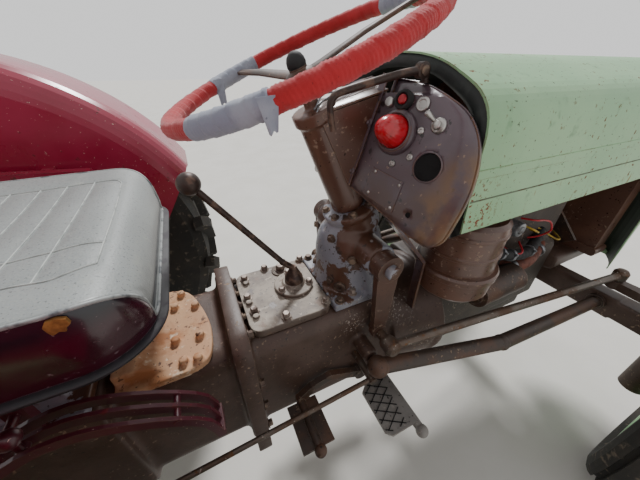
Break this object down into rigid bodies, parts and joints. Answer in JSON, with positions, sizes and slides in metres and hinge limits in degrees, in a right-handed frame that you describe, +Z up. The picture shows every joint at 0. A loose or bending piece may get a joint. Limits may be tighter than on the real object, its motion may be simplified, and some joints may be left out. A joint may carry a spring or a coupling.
{
  "type": "vintage tractor",
  "caption": "Small utility tractor with twin drag links, padded seat, wrapped steering wheel, tilting bonnet and rear lift linkage.",
  "frame": {"origin": "on the ground under the middle of the whole tractor", "axes": "+X forwards, +Y to the driver's left, +Z up"},
  "size_m": [2.933, 1.6086, 1.344],
  "materials": {
    "case_paint": "worn dark paint over cast iron",
    "grey_casting": "worn grey paint over cast iron",
    "cover_paint": "dusty light grey paint",
    "rusty_steel": "rust and thin tan paint",
    "mint_paint": "faded green gloss with rust specks",
    "red_paint": "chipped red gloss",
    "maroon_paint": "chipped maroon gloss",
    "brown_paint": "satin brown paint",
    "bare_steel": "bare and oily steel",
    "seat_cover": "black padded cover with pale seams",
    "red_cloth": "red cloth wound round the rim",
    "tyre_black": "dusty black",
    "lamp_red": "red moulded lens"
  },
  "bodies": {
    "chassis": {"rear_case": "case_paint", "hatch_cover": "rusty_steel", "lift_cover": "grey_casting", "gearbox_case": "case_paint", "gearbox_cover": "cover_paint", "gear_lever": "bare_steel", "axle_tubes": "case_paint", "engine_block": "grey_casting", "manifold": "rusty_steel", "starter": "brown_paint", "air_cleaner": "brown_paint", "radiator": "brown_paint", "fan": "bare_steel", "fuel_tank": "brown_paint", "front_support": "case_paint", "front_axle_beam": "case_paint", "radius_rods": "case_paint", "steering_box": "grey_casting", "steering_column": "brown_paint", "dash_panel": "brown_paint", "dash_lamp": "lamp_red", "throttle_lever": "bare_steel", "seat_spring": "bare_steel", "seat_pan": "maroon_paint", "seat_cushion": "seat_cover", "quadrant": "maroon_paint", "fender_left": "red_paint", "fender_right": "red_paint", "fender_rails": "red_paint", "footrests": "case_paint", "pedals": "case_paint", "brake_rods": "bare_steel", "drawbar": "case_paint"},
    "bonnet": {"hood": "mint_paint", "grille": "mint_paint"},
    "steering_wheel": {"steering_rim": "red_cloth", "steering_spokes": "bare_steel"},
    "lift_shaft": {"lift_arms": "case_paint"},
    "drop_arm_left": {"drop_arm_left": "grey_casting"},
    "drag_link_left": {"drag_link_left": "bare_steel"},
    "knuckle_left": {"knuckle_left": "grey_casting"},
    "front_wheel_left": {"front_tyre_left": "tyre_black", "front_rim_left": "mint_paint"},
    "rear_wheel_left": {"rear_tyre_left": "tyre_black", "rear_rim_left": "mint_paint"},
    "lower_link_left": {"lower_link_left": "bare_steel"},
    "lift_rod_left": {"lift_rod_left": "bare_steel"},
    "drop_arm_right": {"drop_arm_right": "grey_casting"},
    "drag_link_right": {"drag_link_right": "bare_steel"},
    "knuckle_right": {"knuckle_right": "grey_casting"},
    "front_wheel_right": {"front_tyre_right": "tyre_black", "front_rim_right": "mint_paint"},
    "rear_wheel_right": {"rear_tyre_right": "tyre_black", "rear_rim_right": "mint_paint"},
    "lower_link_right": {"lower_link_right": "bare_steel"},
    "lift_rod_right": {"lift_rod_right": "bare_steel"}
  },
  "joints": [
    {"name": "steering_turn", "type": "hinge", "parent": "chassis", "child": "steering_wheel", "pos_m": [0.1235, 0, 1.24], "axis": [-0.3907, 0, 0.9205], "range_deg": [-540, 540]},
    {"name": "bonnet_tilt", "type": "hinge", "parent": "chassis", "child": "bonnet", "pos_m": [1.3375, 0, 0.643], "axis": [0, 1, 0], "range_deg": [0, 65]},
    {"name": "lift_turn", "type": "hinge", "parent": "chassis", "child": "lift_shaft", "pos_m": [-0.7165, 0, 0.84], "axis": [0, 1, 0], "range_deg": [-34, 36]},
    {"name": "drop_arm_left_swing", "type": "hinge", "parent": "chassis", "child": "drop_arm_left", "pos_m": [0.2555, 0.143, 0.875], "axis": [0, -1, 0], "range_deg": [-30.1, 30.1]},
    {"name": "drag_link_left_pivot", "type": "hinge", "parent": "drop_arm_left", "child": "drag_link_left", "pos_m": [0.2555, 0.18, 0.683], "axis": [0, -1, 0], "range_deg": [-30.1, 30.1]},
    {"name": "knuckle_left_steer", "type": "hinge", "parent": "chassis", "child": "knuckle_left", "pos_m": [1.1215, 0.48, 0.52], "axis": [0, 0, 1], "range_deg": [-30.1, 30.1]},
    {"name": "front_wheel_left_spin", "type": "hinge", "parent": "knuckle_left", "child": "front_wheel_left", "pos_m": [1.1215, 0.595, 0.345], "axis": [0, 1, 0], "continuous": true},
    {"name": "rear_wheel_left_spin", "type": "hinge", "parent": "chassis", "child": "rear_wheel_left", "pos_m": [-0.6565, 0.66, 0.615], "axis": [0, 1, 0], "continuous": true},
    {"name": "lower_link_left_lift", "type": "hinge", "parent": "chassis", "child": "lower_link_left", "pos_m": [-0.6365, 0.215, 0.4], "axis": [0, 1, 0], "range_deg": [-20, 21]},
    {"name": "lift_rod_left_pivot", "type": "hinge", "parent": "lift_shaft", "child": "lift_rod_left", "pos_m": [-0.9665, 0.207, 0.84], "axis": [0, 1, 0], "range_deg": [-36.1, 34.1]},
    {"name": "drop_arm_right_swing", "type": "hinge", "parent": "chassis", "child": "drop_arm_right", "pos_m": [0.2555, -0.143, 0.875], "axis": [0, 1, 0], "range_deg": [-30.1, 30.1]},
    {"name": "drag_link_right_pivot", "type": "hinge", "parent": "drop_arm_right", "child": "drag_link_right", "pos_m": [0.2555, -0.18, 0.683], "axis": [0, 1, 0], "range_deg": [-30.1, 30.1]},
    {"name": "knuckle_right_steer", "type": "hinge", "parent": "chassis", "child": "knuckle_right", "pos_m": [1.1215, -0.48, 0.52], "axis": [0, 0, 1], "range_deg": [-30.1, 30.1]},
    {"name": "front_wheel_right_spin", "type": "hinge", "parent": "knuckle_right", "child": "front_wheel_right", "pos_m": [1.1215, -0.595, 0.345], "axis": [0, 1, 0], "continuous": true},
    {"name": "rear_wheel_right_spin", "type": "hinge", "parent": "chassis", "child": "rear_wheel_right", "pos_m": [-0.6565, -0.66, 0.615], "axis": [0, 1, 0], "continuous": true},
    {"name": "lower_link_right_lift", "type": "hinge", "parent": "chassis", "child": "lower_link_right", "pos_m": [-0.6365, -0.215, 0.4], "axis": [0, 1, 0], "range_deg": [-20, 21]},
    {"name": "lift_rod_right_pivot", "type": "hinge", "parent": "lift_shaft", "child": "lift_rod_right", "pos_m": [-0.9665, -0.207, 0.84], "axis": [0, 1, 0], "range_deg": [-36.1, 34.1]}
  ],
  "couplings": [
    {"joint": "drop_arm_left_swing", "follows": "steering_turn", "ratio": 0.055556},
    {"joint": "drag_link_left_pivot", "follows": "steering_turn", "ratio": -0.055556},
    {"joint": "knuckle_left_steer", "follows": "steering_turn", "ratio": 0.055556},
    {"joint": "lower_link_left_lift", "follows": "lift_turn", "ratio": 0.575},
    {"joint": "lift_rod_left_pivot", "follows": "lift_turn", "ratio": -1},
    {"joint": "drop_arm_right_swing", "follows": "steering_turn", "ratio": 0.055556},
    {"joint": "drag_link_right_pivot", "follows": "steering_turn", "ratio": -0.055556},
    {"joint": "knuckle_right_steer", "follows": "steering_turn", "ratio": 0.055556},
    {"joint": "lower_link_right_lift", "follows": "lift_turn", "ratio": 0.575},
    {"joint": "lift_rod_right_pivot", "follows": "lift_turn", "ratio": -1}
  ]
}
